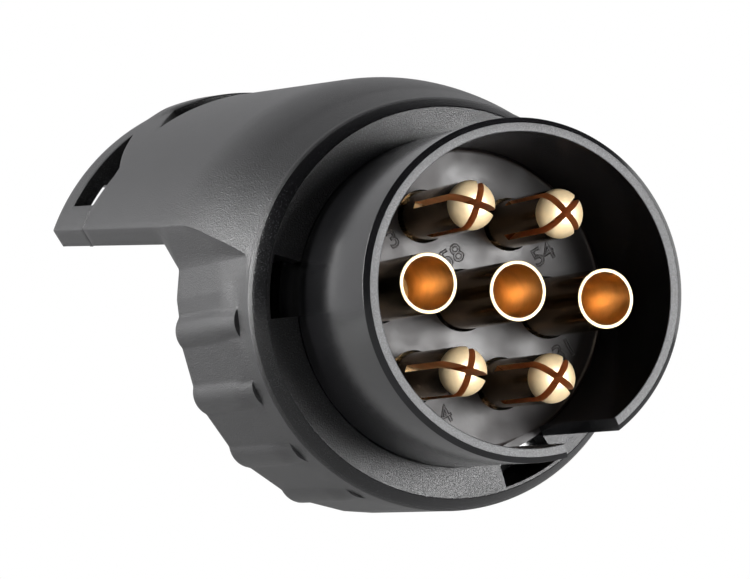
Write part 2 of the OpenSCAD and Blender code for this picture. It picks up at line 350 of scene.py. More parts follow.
def soft_rubber(name, base):
    """Dull rubber with a fine grain."""
    f = Finish(name)
    clouds = f.noise(0.8, detail=4)
    f.colour(f.ramp(clouds, (0.3, toned(base, 0.7)), (0.7, toned(base, 1.3))))
    f.roughness(f.noise(0.3), 0.6, 0.8)
    f.bumps((f.noise(0.2), 0.02, 0.4))
    return f.material


def insulation(name, base):
    """The plastic round a wire."""
    f = Finish(name)
    f.colour(f.ramp(f.noise(1.2, detail=3), (0.3, toned(base, 0.8)), (0.7, base)))
    f.roughness(f.noise(0.4), 0.35, 0.5)
    f.bumps((f.noise(0.6), 0.02, 0.3))
    return f.material


HOUSING = textured_plastic(
    "housing_plastic", (0.011, 0.011, 0.012), grain=0.19, depth=0.075, rough=(0.30, 0.42), sparkle=4,
)
# A smoother, darker copy of the housing plastic for the collar's chamfer: the lower roughness is the
# edge's own finish, the darker colour and fewer bright specks are painted shade.
EDGE_PAINTED_SHADE = textured_plastic(
    "housing_edge_painted_shade", (0.008, 0.008, 0.009), grain=0.19, depth=0.03, rough=(0.16, 0.24), sparkle=3,
)
NOSE = smooth_plastic("nose_plastic", (0.008, 0.008, 0.009), (0.14, 0.24))
FLOOR = smooth_plastic(
    "floor_plastic", (0.018, 0.014, 0.014), (0.3, 0.48), scratch=0.9, shine=0.31, patchy=True,
)
RIM = textured_plastic(
    "rim_plastic", (0.042, 0.042, 0.045), grain=0.15, depth=0.04, rough=(0.35, 0.5), sparkle=1.8,
)
# The contacts' brass: its dark colour is partly the brass's own tone and partly painted shade for the
# pins' and tubes' sides.
BRASS = turned_brass("contact_brass", (0.36, 0.25, 0.13), (0.14, 0.22))
# A pale cream copy of the brass for the domed tips and the tubes' end rings: painted highlight.
TIP_PAINTED_HIGHLIGHT = turned_brass("contact_tip", (1.0, 0.77, 0.46), (0.42, 0.55), metal=0.4)
# A brighter copper copy of the brass for the walls of the pins' cross slots: painted highlight.
SLOT_PAINTED_HIGHLIGHT = turned_brass("contact_slot", (0.80, 0.42, 0.19), (0.45, 0.55), metal=0.7)
# A lighter copy of the brass for the tubes' bores: painted light on the inner walls.
BORE_PAINTED_LIGHT = turned_brass("contact_bore", (0.66, 0.43, 0.2), (0.28, 0.44), streak=(3, 12, 0.5))
SCREW = turned_brass("screw_steel", (0.55, 0.55, 0.57), (0.25, 0.4), streak=(4, 4, 4))
SEAL = soft_rubber("seal_rubber", (0.02, 0.02, 0.02))
WIRES = {
    "wire_yellow": (0.75, 0.5, 0.03),
    "wire_blue": (0.03, 0.1, 0.45),
    "wire_white": (0.75, 0.75, 0.72),
    "wire_green": (0.04, 0.3, 0.06),
    "wire_brown": (0.16, 0.07, 0.03),
    "wire_red": (0.5, 0.02, 0.02),
    "wire_black": (0.02, 0.02, 0.02),
}
WIRE_MATERIALS = {slot: insulation(slot, colour) for slot, colour in WIRES.items()}


# ------------------------------------------------------------------- housing

# Lengths are in millimetres. Y is measured from the collar's face, s from where the hood starts.
HOOD_R = 28.69
HOOD_WALL = 2.1
HOOD_IN_R = HOOD_R - HOOD_WALL
HOOD_TILT = math.radians(4.2)
HOOD_Y = 28.0
HOOD_Z = 1.0
HOOD_LEN = 50.6
CROSS_Y = HOOD_Y - HOOD_Z / math.tan(HOOD_TILT)
BEND = 6.0
COLLAR_R = 24.6
COLLAR_BACK = 2.7
FACE_R = 23.2
CHAMFER_CORNER = (24.42, 1.99)
CHAMFER_RADIUS = 5.0
CHAMFER_RUN = 1.4
SQUARE_FROM_R = 24.0
CONE_START = 2.6
CONE_SLOPE = 0.29
CONE_BLEND = 2.4

SIDE_X = 25.2
SIDE_DRAFT = 0.6
SIDE_FULL_Y = 14
SHOULDER_Z = 3.7
FACET = Vector((2.42, 5.13)).normalized()

# The ribs and flats round the grip. Angles are in degrees from +X, and 270 is straight down.
GRIP_RISE = 0.3
FLAT_R = 24.8
CREST_R = 25.5
RIB_R = 3.0
RIB_RISE = 0.35
RIB_FRONT = 6.3
RIB_FULL_Y = 13
RIB_REACH = 9
RIB_BLEND = 0.12
RIB_STEP = 20
RIB_HALF = 4.5
FLATS = range(190, 351, RIB_STEP)
BOTTOM = 270

# The stretches of Y over which the round collar turns into the grip, at its sides and below them,
# and the degrees from the shoulders over which one gives way to the other.
SIDE_GROWS = (CONE_START, 3.8)
FLAT_GROWS = (5.5, 10)
SIDE_ANGLES = (3, 12)

CUT_LOW = 5.7
WINDOW_FRONT = 36.0
WINDOW_BACK = 45.3
STRIP_BULGE = 0.35
STRIP_FADE_BACK = (26, 34)
STRIP_FADE_FRONT = (14, 28)
LIP_R = 25.0
LIP_HALF = 57
PARTING = 0.12
PARTING_HALF = 0.22
GUSSET_X = 23.0
GUSSET_LEN = 4.0
GUSSET_TOP = 20.0
HOOD_STATIONS = (GUSSET_LEN, 6, 9, 13, 17, 21, 25, 28, 30, 32, 34)

# The notch in the side windows' front edges: its reach along s by degrees from the sides, and the
# places along s between which the rows next to it follow.
NOTCH_ANGLES = (23, 32, 34.7, 41)
NOTCH_REACH = (0, -1.6, -1.1, 0)
NOTCH_ROWS = (28, WINDOW_FRONT - 0.3, WINDOW_FRONT, WINDOW_BACK)

# Angles of the column lines at the windows' front and back edges, and the steps between them.
# The first line, at the facet's corner, depends on the place along the hood.
FRONT_KNOTS = [23.0, 34.7, 51.0, 90.0]
BACK_KNOTS = [23.0, 48.5, 62.0, 90.0]
COLUMNS = [4, 13, 8, 20]
HALF = sum(COLUMNS)
SIDE_WINDOW = (COLUMNS[0], COLUMNS[0] + COLUMNS[1])
TOP_WINDOW = (sum(COLUMNS[:3]), 2 * HALF - sum(COLUMNS[:3]))
WINDOWS = [SIDE_WINDOW, TOP_WINDOW, (2 * HALF - SIDE_WINDOW[1], 2 * HALF - SIDE_WINDOW[0])]
OVER_POINTS = 2 * HALF + 1
CUT_FACE_POINTS = 5
LOWER_STEPS = 330

CAVITY_FRONT_R = 20.6
CAVITY_BACK_R = 21.5
CAVITY_STEP = 22.0
BORE_R = 19.4
FRONT_WALL = 3.2
EDGE_ROUND = 0.16

# The pockets in the collar's face, round the nose.
POCKET_R = (19.0, 22.8)
POCKET_DEPTH = 12
POCKET_ARC = 19
POCKET_ANGLES = (60, 180, 300)


def ease(low, high, value):
    """A smooth step from 0 at low to 1 at high."""
    t = np.clip((value - low) / (high - low), 0, 1)
    return t * t * (3 - 2 * t)


def soft_min(a, b, reach):
    """The smaller value, rounded off where the two are closer than reach."""
    overlap = np.maximum(reach - np.abs(a - b), 0) / reach
    return np.minimum(a, b) - overlap ** 2 * reach / 4


def soft_max(a, b, reach):
    return -soft_min(-a, -b, reach)


def spine(t):
    """Centre (y, z) and tilt of the section at t: along Y in front, along the hood's axis behind."""
    if t > HOOD_Y:
        s = t - HOOD_Y
        return HOOD_Y + s * math.cos(HOOD_TILT), HOOD_Z + s * math.sin(HOOD_TILT), HOOD_TILT
    slope = math.tan(HOOD_TILT)
    run = min(max(t - CROSS_Y + BEND, 0), 2 * BEND)
    height = slope * (run ** 2 / (4 * BEND) + max(t - CROSS_Y - BEND, 0))
    return t, height, math.atan(slope * run / (2 * BEND))


def place_section(points, t):
    """Section points (across, up) at t as points in space. Below the axis the section stays upright."""
    points = np.asarray(points, float)
    y, z, tilt = spine(t)
    across, up = points[:, 0], points[:, 1]
    return np.stack([across, y - np.maximum(up, 0) * math.sin(tilt), z + up * math.cos(tilt)], 1)


def body_radius(t):
    """Radius of the round upper part, which widens from the collar to the hood."""
    cone = COLLAR_R + CONE_SLOPE * max(t - CONE_START, 0)
    return float(soft_min(np.array(cone), np.array(HOOD_R), CONE_BLEND))


def side_at(t):
    """Distance of the grip's side flats from the middle; they draw in towards the collar."""
    return SIDE_X - SIDE_DRAFT * (1 - float(ease(CONE_START, SIDE_FULL_Y, t)))


def facet_line(t, radius):
    """Foot of the right shoulder facet, and where the facet meets a circle of the given radius."""
    _, z, tilt = spine(min(t, HOOD_Y))
    foot = Vector((side_at(t), (SHOULDER_Z - z) / math.cos(tilt)))
    if foot.length >= radius:
        corner = Vector((math.sqrt(radius ** 2 - foot.y ** 2), foot.y))
        return corner, corner
    along = foot.dot(FACET)
    reach = -along + math.sqrt(along ** 2 - foot.length_squared + radius ** 2)
    return foot, foot + reach * FACET


def column_angles(t, first):
    """Angles in degrees of the lengthways lines over the body, from the right to the left."""
    share = min(max((t - HOOD_Y - WINDOW_FRONT) / (WINDOW_BACK - WINDOW_FRONT), 0), 1)
    knots = [first] + [a + (b - a) * share for a, b in zip(FRONT_KNOTS, BACK_KNOTS)]
    spans = zip(knots, knots[1:], COLUMNS)
    right = [a + (b - a) * k / n for a, b, n in spans for k in range(n)]
    return np.array(right + [90.0] + [180 - a for a in reversed(right)])


def mirrored(points):
    """The same points on the left side."""
    return [Vector((-p.x, p.y)) for p in points]


def grip_corners(side_x):
    """Corners (x, z) of the faceted grip about its own centre, from the left shoulder round."""
    corner_r = FLAT_R / math.cos(math.radians(RIB_STEP / 2 - RIB_HALF))
    rise = SHOULDER_Z - GRIP_RISE
    corners = [(-side_x, rise), (-side_x, -GRIP_RISE)]
    for a in FLATS:
        for e in (-RIB_HALF, RIB_HALF):
            turn = math.radians(a + e)
            corners.append((corner_r * math.cos(turn), corner_r * math.sin(turn)))
    corners += [(side_x, -GRIP_RISE), (side_x, rise)]
    return np.array(corners)


def rib_radius(angle, t):
    """Radius of the ribs' round crests, and 0 where there is none; the lowest rib is left out."""
    turn = np.degrees(angle)
    off = np.radians((turn - FLATS[0] + RIB_STEP / 2) % RIB_STEP - RIB_STEP / 2)
    no_rib = (turn < FLATS[0] - RIB_REACH) | (turn > FLATS[-1] + RIB_REACH)
    no_rib |= np.abs(turn - BOTTOM) < RIB_REACH
    off = np.where(no_rib, 1, off)
    centre_r = CREST_R - RIB_RISE * (1 - float(ease(RIB_FRONT, RIB_FULL_Y, t))) - RIB_R
    under = np.maximum(RIB_R ** 2 - (centre_r * np.sin(off)) ** 2, 0)
    return np.where(under > 0, centre_r * np.cos(off) + np.sqrt(under), 0)


def lower_radius(angle, t):
    """Radius of the grip about its own centre: collar band, then flats with ribs between them."""
    corners = grip_corners(side_at(t))
    spots = np.unwrap(np.arctan2(corners[:, 1], corners[:, 0]) % (2 * math.pi))
    which = np.clip(np.searchsorted(spots, angle, side="right") - 1, 0, len(corners) - 2)
    x, z = corners[which].T
    side_x, side_z = (corners[which + 1] - corners[which]).T
    flats = (x * side_z - z * side_x) / (np.cos(angle) * side_z - np.sin(angle) * side_x)
    band = COLLAR_R - GRIP_RISE * np.sin(angle)
    from_side = np.degrees(np.minimum(angle - spots[0], spots[-1] - angle))
    near_side = 1 - ease(*SIDE_ANGLES, from_side)
    share = near_side * ease(*SIDE_GROWS, t) + (1 - near_side) * ease(*FLAT_GROWS, t)
    base = band + (flats - band) * share
    if t <= RIB_FRONT:
        return base
    return soft_max(base, rib_radius(angle, t), RIB_BLEND)


def outline(t):
    """Closed cross-section of the collar or grip: over the top, left facet, grip, right facet."""
    _, z, tilt = spine(t)
    radius = body_radius(t)
    foot, corner = facet_line(t, radius)
    angles = np.radians(column_angles(t, math.degrees(math.atan2(corner.y, corner.x))))
    top = np.stack([radius * np.cos(angles), radius * np.sin(angles)], 1)
    facet = [foot.lerp(corner, k / 3) for k in (1, 2)]
    left_facet = mirrored(reversed(facet))
    rise = SHOULDER_Z - GRIP_RISE
    start = math.atan2(rise, -SIDE_X)
    sweep = np.linspace(start, 3 * math.pi - start, LOWER_STEPS + 1)
    grip_r = lower_radius(sweep, t)
    grip_up = (GRIP_RISE + grip_r * np.sin(sweep) - z) / math.cos(tilt)
    grip = np.stack([grip_r * np.cos(sweep), grip_up], 1)
    grip[0] = (-foot.x, foot.y)
    grip[-1] = foot
    section = np.concatenate([top, left_facet, grip, facet])
    return place_section(section, t)


def turned_ring(like, radius, t):
    """A round ring at t whose points lie at the angles of another ring."""
    _, z, _ = spine(t)
    turn = np.arctan2(like[:, 2] - z, like[:, 0])
    return place_section(np.stack([radius * np.cos(turn), radius * np.sin(turn)], 1), t)


def collar_rings():
    """The bore's front edge, the flat face, the chamfer and the rounded outer edge."""
    first = outline(COLLAR_BACK)
    scale = np.hypot(first[:, 0], first[:, 2]) / COLLAR_R
    corner_r, corner_y = CHAMFER_CORNER
    cone = (corner_r + CHAMFER_RUN * CONE_SLOPE, corner_y + CHAMFER_RUN)
    profile = softened(
        [(BORE_R, FRONT_WALL), (BORE_R, 0), (FACE_R, 0), (corner_r, corner_y), cone],
        {1: 0.15, 2: 0.25, 3: CHAMFER_RADIUS}, steps=5,
    )[:-1]
    rings = [turned_ring(first, CAVITY_FRONT_R, FRONT_WALL)]
    for radius, y in profile:
        stretch = 1 + (scale - 1) * ease(SQUARE_FROM_R, COLLAR_R, radius)
        ring = turned_ring(first, 1.0, 0) * radius * stretch[:, None]
        ring[:, 1] = y
        rings.append(ring)
    return rings


def hood_outer_r(angle, s, behind):
    """Outer radius of the hood; the strip behind the top window stands proud."""
    if not behind:
        return np.full_like(angle, HOOD_R)
    off = np.abs(angle - 90)
    fade = STRIP_FADE_BACK if s > WINDOW_BACK + 0.1 else STRIP_FADE_FRONT
    return HOOD_R + STRIP_BULGE * (1 - ease(*fade, off))


def hood_inner_r(angle, behind):
    """Inner radius of the hood; a lip runs round inside its back end."""
    return np.where(behind & (np.abs(angle - 90) < LIP_HALF), LIP_R, HOOD_IN_R)


def row_shift(angle, s):
    """How far a point moves along the hood so that the side windows' front edges get their notch."""
    from_side = np.minimum(angle, 180 - angle)
    notch = np.interp(from_side, NOTCH_ANGLES, NOTCH_REACH)
    return notch * np.interp(s, NOTCH_ROWS, (0, 1, 1, 0))


def hood_loop(s, gusset=False, behind=False, parting=False):
    """Closed cross-section of the hood: outside, left cut face, inside, right cut face."""
    t = HOOD_Y + s
    foot, corner = facet_line(t, HOOD_R)
    inner = Vector((math.sqrt(HOOD_IN_R ** 2 - CUT_LOW ** 2), CUT_LOW))
    end = foot.lerp(inner, min(s / GUSSET_LEN, 1)) if gusset else inner
    facet = [end.lerp(corner, k / 3) for k in (1, 2)]
    angles = column_angles(t, math.degrees(math.atan2(corner.y, corner.x)))
    outer_r = hood_outer_r(angles, s, behind)
    if parting:
        low_side = np.minimum(angles, 180 - angles) < FRONT_KNOTS[0] - 0.1
        outer_r = outer_r - PARTING * low_side
        facet = [p + PARTING * Vector((-FACET.y, FACET.x)) for p in facet]
    turn = np.radians(angles)
    outside = np.stack([outer_r * np.cos(turn), outer_r * np.sin(turn)], 1)
    inner_angles = column_angles(t, GUSSET_TOP)
    inner_r = hood_inner_r(inner_angles, behind)
    turn_in = np.radians(inner_angles)
    inside = np.stack([inner_r * np.cos(turn_in), inner_r * np.sin(turn_in)], 1)
    if gusset:
        wall_top = GUSSET_X * math.tan(math.radians(GUSSET_TOP))
        wall = [Vector((GUSSET_X, end.y)), Vector((GUSSET_X, wall_top))]
    else:
        low = math.degrees(math.atan2(inner.y, inner.x))
        spots = [math.radians(low + (GUSSET_TOP - low) * k / 3) for k in (1, 2)]
        wall = [HOOD_IN_R * Vector((math.cos(a), math.sin(a))) for a in spots]
    left = mirrored(list(reversed(facet)) + [end] + wall)
    right = list(reversed(wall)) + [end] + facet
    section = np.concatenate([outside, left, inside[::-1], right])
    loop = place_section(section, t)
    shift = np.zeros(len(section))
    shift[:len(outside)] = row_shift(angles, s)
    first_inside = len(outside) + len(left)
    shift[first_inside:first_inside + len(inside)] = row_shift(inner_angles, s)[::-1]
    ahead = np.array([0, math.cos(HOOD_TILT), math.sin(HOOD_TILT)])
    return loop + shift[:, None] * ahead


def inside_index(column):
    """Where in a hood loop the inner point of that column is."""
    return OVER_POINTS + CUT_FACE_POINTS + 2 * HALF - column


def hood_rows():
    """The hood's loops from the grip to its back end, and the rows between which the windows lie."""
    loops = [hood_loop(s, gusset=True) for s in np.linspace(0, GUSSET_LEN, 5)]
    loops += [hood_loop(s) for s in (*HOOD_STATIONS, WINDOW_FRONT - PARTING_HALF)]
    front = len(loops)
    loops.append(hood_loop(WINDOW_FRONT, parting=True))
    loops.append(hood_loop(WINDOW_FRONT + PARTING_HALF))
    loops += [hood_loop(s) for s in np.linspace(WINDOW_FRONT + 1.5, WINDOW_BACK, 6)]
    back = len(loops)
    loops += [hood_loop(s, behind=True) for s in np.linspace(WINDOW_BACK, HOOD_LEN, 5)]
    return loops, front, back


def in_window(row, index, front, back):
    """True for a face of the hood's loops that a window takes away."""
    if not front <= row < back:
        return False
    for low, high in WINDOWS:
        if low <= index < high or inside_index(high) <= index < inside_index(low):
            return True
    return False


def window_walls(skin, loops, front, back):
    """The walls through the hood's thickness round each window."""
    for low, high in WINDOWS:
        path = [(front, c) for c in range(low, high)] + [(r, high) for r in range(front, back)]
        path += [(back, c) for c in range(high, low, -1)] + [(r, low) for r in range(back, front, -1)]
        outside = [loops[r][c] for r, c in path]
        inside = [loops[r][inside_index(c)] for r, c in path]
        skin.grid([outside, inside], closed=True)


def rear_face_rings(last_outline, first_loop):
    """From the edge of the grip's rear face into the cavity and forwards to the front wall."""
    edge = np.array(last_outline)
    edge[:OVER_POINTS] = first_loop[inside_index(2 * HALF):inside_index(0) + 1][::-1]
    left_wall = first_loop[OVER_POINTS + 3:OVER_POINTS + 5]
    right_wall = first_loop[inside_index(0) + 1:inside_index(0) + 3]
    edge[OVER_POINTS:OVER_POINTS + 2] = left_wall[::-1]
    edge[-2:] = right_wall[::-1]
    rim = turned_ring(edge, CAVITY_BACK_R, HOOD_Y)
    seat = turned_ring(rim, CAVITY_BACK_R, CAVITY_STEP)
    step = turned_ring(seat, CAVITY_FRONT_R, CAVITY_STEP)
    return [edge, (edge + rim) / 2, rim, seat, step]


def ring_sector_cutter(in_r, out_r, y0, y1, angle, arc):
    """A piece of a ring about Y, to cut with."""
    turn = np.radians(np.linspace(angle - arc / 2, angle + arc / 2, 9))
    ring = [(in_r, y0), (out_r, y0), (out_r, y1), (in_r, y1)]
    rows = [[(r * math.cos(a), y, r * math.sin(a)) for r, y in ring] for a in turn]
    skin = Skin()
    skin.grid(rows, closed=True)
    skin.face(rows[0])
    skin.face(rows[-1])
    cutter = new_piece("cutter", skin.points, skin.faces, [], None)
    weld(cutter)
    return cutter


def make_housing():
    """One moulding: collar, ribbed grip and half-round hood with its windows."""
    stations = [COLLAR_BACK, 3.1, 3.6, 4.2, 5.0, 5.8, RIB_FRONT, RIB_FRONT + 0.12]
    stations += [6.9, 7.6, 8.4, 9.3, *np.linspace(10.4, HOOD_Y, 18)]
    rings = collar_rings() + [outline(t) for t in stations]
    loops, front, back = hood_rows()
    skin = Skin()
    skin.grid(rings, closed=True)
    skin.grid(loops, closed=True, skip=lambda row, index: in_window(row, index, front, back))
    window_walls(skin, loops, front, back)
    skin.grid(rear_face_rings(rings[-1], loops[0]) + [rings[0]], closed=True)
    last = loops[-1]
    skin.grid([last[:OVER_POINTS], [last[inside_index(c)] for c in range(OVER_POINTS)]])
    skin.face([last[k] for k in range(OVER_POINTS - 1, OVER_POINTS + CUT_FACE_POINTS + 1)])
    skin.face([last[0]] + [last[k] for k in range(len(last) - 1, inside_index(0) - 1, -1)])
    finishes = [HOUSING, EDGE_PAINTED_SHADE]
    housing = new_piece(
        "housing_shell", skin.points, skin.faces, finishes, "housing_plastic", ["housing"],
    )
    weld(housing)
    # The chamfer's faces take the darker copy of the plastic: painted shade.
    for face in housing.data.polygons:
        middle = face.center / MM
        outside_face = math.hypot(middle.x, middle.z) > FACE_R - 0.1
        on_chamfer = middle.y < CHAMFER_CORNER[1] - 0.15 and outside_face
        face.material_index = finishes.index(EDGE_PAINTED_SHADE if on_chamfer else HOUSING)

    def wanted(edge):
        """Sharp edges behind the collar, but not in the cavity or the parting groove."""
        middle = (edge.verts[0].co + edge.verts[1].co) / 2 / MM
        outside_cavity = math.hypot(middle.x, middle.z - HOOD_Z) > CAVITY_BACK_R + 0.6
        groove = abs(middle.y - HOOD_Y - WINDOW_FRONT) < 1 and middle.z < 13.5
        return middle.y > 20 and outside_cavity and not groove and is_crease(edge, math.radians(33))

    bevel_edges(housing, EDGE_ROUND, wanted)
    cut(housing, [
        ring_sector_cutter(*POCKET_R, -1, POCKET_DEPTH, angle, POCKET_ARC) for angle in POCKET_ANGLES
    ])
    shade(housing)


# ---------------------------------------------------------- nose and contacts

nose_low, nose_high = in_mm("plug_nose")
RIM_Y = nose_low.y
NOSE_BACK = nose_high.y
NOSE_R = 19.45
NOSE_IN_R = 17.8
RIM_OUT_R = 18.79
RIM_BEVEL = 0.55
NECK_R = 18.9
FLOOR_Y = -2.9
FLOOR_FILLET = 0.5
FLANGE_R = 20.5
KEY_ANGLE = 299
KEY_W = 7.1
KEY_REACH = 6.0

SHOULDER_Y = 3.0
SHOULDER_R = 4.2
TAIL_R = 1.5
TAIL_BEVEL = 0.2
PIN_R = 2.85
PIN_DOME = 2.1
PIN_HOLE_R = 3.15
PIN_SLOT_LEN = 12.5
PIN_SLOT_W = 0.8
TUBE_R = 3.45
TUBE_BORE_R = 3.03
TUBE_BORE_LEN = 14
TUBE_HOLE_R = 3.7

# Each pin's cross slot is turned by this many degrees.
PINS = {"upper_left": 76, "upper_right": 47, "lower_left": 78, "lower_right": 60}
TUBES = ("left", "centre", "right")

# Digits on the contact floor, by the (x, z) of their middles.
DIGITS = {
    "58": (-1.5, 5.0),
    "54": (10.1, 6.2),
    "31": (13.4, -5.0),
    "4": (-1.3, -13.6),
    "3": (-9.0, 6.4),
    "1": (-9.0, -6.5),
}
DIGIT_TURN = 34
DIGIT_SIZE = 3.0
DIGIT_LINE = 0.09


def contact_place(node):
    """Axis (x, z), tip y and back y of a contact."""
    low, high = in_mm(node)
    return ((low.x + high.x) / 2, (low.z + high.z) / 2), low.y, high.y


def contact_nodes():
    return [f"split_pin_{k}" for k in PINS] + [f"tube_contact_{k}" for k in TUBES]


def cylinder_cutter(radius, y0, y1, place):
    profile = [(0, y0), (radius, y0), (radius, y1), (0, y1)]
    return lathe("cutter", profile, [], None, steps=64, place=place)


def make_nose():
    """The round shroud with its contact floor, key slot and rim."""
    profile = softened([
        (0, FLOOR_Y),
        (NOSE_IN_R, FLOOR_Y),
        (NOSE_IN_R, RIM_Y),
        (RIM_OUT_R, RIM_Y),
        (NOSE_R, RIM_Y + RIM_BEVEL),
        (NOSE_R, -0.1),
        (NECK_R, -0.1),
        (NECK_R, FRONT_WALL),
        (FLANGE_R, FRONT_WALL),
        (FLANGE_R, NOSE_BACK),
        (0, NOSE_BACK),
    ], {1: FLOOR_FILLET, 2: 0.12, 3: 0.1, 4: 0.15, 5: 0.1, 9: 0.3}, steps=4)
    finishes = [NOSE, FLOOR, RIM]
    nose = lathe("plug_shroud", profile, finishes, "nose_plastic", ["plug_nose"], steps=256)
    slot_size = (KEY_REACH, -RIM_Y + 1, KEY_W)
    slot_centre = (NOSE_IN_R - 0.3 + KEY_REACH / 2, (RIM_Y - 1) / 2, 0)
    cutters = [block(slot_size, slot_centre, turn=-math.radians(KEY_ANGLE))]
    for node in contact_nodes():
        place, _, _ = contact_place(node)
        radius = PIN_HOLE_R if "pin" in node else TUBE_HOLE_R
        cutters.append(cylinder_cutter(radius, FLOOR_Y - 1, SHOULDER_Y, place))
        cutters.append(cylinder_cutter(SHOULDER_R + 0.1, SHOULDER_Y - 0.1, NOSE_BACK + 1, place))
    cut(nose, cutters)
    for face in nose.data.polygons:
        middle = face.center / MM
        radius = math.hypot(middle.x, middle.z)
        in_fillet = FLOOR_Y - FLOOR_FILLET - 0.05 < middle.y < FLOOR_Y and radius < NOSE_IN_R + 0.05
        on_floor = abs(middle.y - FLOOR_Y) < 0.02
        at_collar_face = abs(middle.y) < 0.12
        if in_fillet or on_floor or at_collar_face:
            face.material_index = finishes.index(FLOOR)
        elif middle.y < RIM_Y + 0.08 and radius < RIM_OUT_R + 0.01:
            face.material_index = finishes.index(RIM)
    shade(nose)


def stem(radius, back):
    """A contact's profile from the floor over its shoulder to the end of its tail."""
    return [
        (radius, FLOOR_Y),
        (radius - 0.25, FLOOR_Y),
        (radius - 0.25, SHOULDER_Y),
        (SHOULDER_R, SHOULDER_Y),
        (SHOULDER_R, NOSE_BACK),
        (TAIL_R, NOSE_BACK),
        (TAIL_R, back - TAIL_BEVEL),
        (TAIL_R - TAIL_BEVEL, back),
        (0, back),
    ]


def make_split_pin(node, slot_angle):
    """A domed pin with a cross slot from its tip; the dome and the slot's walls get lighter copies of
    the brass, as painted highlight.
    """
    place, tip, back = contact_place(node)
    swing = np.linspace(0, math.pi / 2, 13)
    cap = [
        (PIN_R - PIN_DOME + PIN_DOME * math.sin(a), tip + PIN_DOME * (1 - math.cos(a)))
        for a in swing
    ]
    profile = [(0, tip)] + cap + stem(PIN_R, back)
    finishes = [BRASS, TIP_PAINTED_HIGHLIGHT, SLOT_PAINTED_HIGHLIGHT]
    pin = lathe(node + "_turned", profile, finishes, "contact_brass", [node], place=place)
    size = (8, PIN_SLOT_LEN + 1, PIN_SLOT_W)
    centre = (0, tip + (PIN_SLOT_LEN - 1) / 2, 0)
    cutters = []
    for turn in (0, 90):
        knife = block(size, centre, turn=-math.radians(slot_angle + turn))
        knife.data.transform(Matrix.Translation(Vector((place[0], 0, place[1])) * MM))
        cutters.append(knife)
    cut(pin, cutters)
    # The slot walls and the dome take the lighter copies of the brass: painted highlight.
    for face in pin.data.polygons:
        middle = face.center / MM
        off_axis = math.hypot(middle.x - place[0], middle.z - place[1])
        inside = off_axis < PIN_R - 0.25 and middle.y < tip + PIN_SLOT_LEN
        if abs(face.normal.y) < 0.15 and inside:
            face.material_index = finishes.index(SLOT_PAINTED_HIGHLIGHT)
        elif middle.y < tip + PIN_DOME:
            face.material_index = finishes.index(TIP_PAINTED_HIGHLIGHT)
    shade(pin)


def make_tube_contact(node):
    """A tube with a blind bore; the bore gets a lighter copy of the brass as painted light, and the end
    ring a cream copy as painted highlight.
    """
    place, tip, back = contact_place(node)
    bore_end = tip + TUBE_BORE_LEN
    front = softened([
        (0, bore_end + 1),
        (TUBE_BORE_R, bore_end),
        (TUBE_BORE_R, tip),
        (TUBE_R, tip),
        (TUBE_R, FLOOR_Y),
    ], {2: 0.1, 3: 0.14})
    profile = front + stem(TUBE_R, back)[1:]
    finishes = [BRASS, BORE_PAINTED_LIGHT, TIP_PAINTED_HIGHLIGHT]
    tube = lathe(node + "_turned", profile, finishes, "contact_brass", [node], place=place)
    # The bore takes the painted-light copy of the brass and the end ring the painted-highlight copy.
    for face in tube.data.polygons:
        middle = face.center / MM
        off_axis = math.hypot(middle.x - place[0], middle.z - place[1])
        if off_axis < TUBE_BORE_R + 0.01 and middle.y < bore_end + 1.1:
            face.material_index = finishes.index(BORE_PAINTED_LIGHT)
        elif middle.y < tip + 0.05:
            face.material_index = finishes.index(TIP_PAINTED_HIGHLIGHT)
    shade(tube)


def make_numbers():
    """Raised outlined digits on the floor beside the contacts."""
    pieces = []
    for digit, (x, z) in DIGITS.items():
        curve = bpy.data.curves.new("digit", "FONT")
        curve.body = digit
        curve.size = DIGIT_SIZE * MM
        curve.align_x = "CENTER"
        curve.align_y = "CENTER"
        curve.fill_mode = "NONE"
        curve.bevel_depth = DIGIT_LINE * MM
        curve.bevel_resolution = 1
        obj = bpy.data.objects.new("digit", curve)
        bpy.context.scene.collection.objects.link(obj)
        upright = Matrix.Rotation(math.radians(90), 4, "X")
        spin = Matrix.Rotation(-math.radians(DIGIT_TURN), 4, "Y")
        obj.matrix_world = Matrix.Translation(Vector((x, FLOOR_Y, z)) * MM) @ spin @ upright
        bpy.context.view_layer.update()
        graph = bpy.context.evaluated_depsgraph_get()
        mesh = bpy.data.meshes.new_from_object(obj.evaluated_get(graph))
        mesh.transform(obj.matrix_world)
        pieces.append(mesh)
        bpy.data.objects.remove(obj)
    bm = bmesh.new()
    for mesh in pieces:
        bm.from_mesh(mesh)
    mesh = bpy.data.meshes.new("contact_numbers")
    bm.to_mesh(mesh)
    bm.free()
    mesh.materials.clear()
    mesh.materials.append(FLOOR)
    numbers = bpy.data.objects.new("contact_numbers", mesh)
    bpy.context.scene.collection.objects.link(numbers)
    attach(numbers, "root")
    shade(numbers, math.radians(60))


# --------------------------------------------------------- carried-over nodes

BY_SLOT = {
    "housing_plastic": HOUSING,
    "nose_plastic": NOSE,
    "contact_brass": BRASS,
    "screw_steel": SCREW,
    "seal_rubber": SEAL,
    **WIRE_MATERIALS,
}


def dress_cad_nodes():
    """Materials and slightly rounded edges for the CAD nodes that stay."""
    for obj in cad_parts.values():
        if obj.hide_render:
            continue
        slot = obj.data.materials[0].name.split(".")[0]
        obj.data.materials.clear()
        obj.data.materials.append(BY_SLOT[slot])
        join = obj.modifiers.new("join", "WELD")
        join.merge_threshold = WELD
        soft = obj.modifiers.new("edges", "BEVEL")
        soft.limit_method = "ANGLE"
        soft.angle_limit = math.radians(40)
        soft.width = 0.1 * MM
        soft.segments = 2


# ------------------------------------------------------------ camera and light

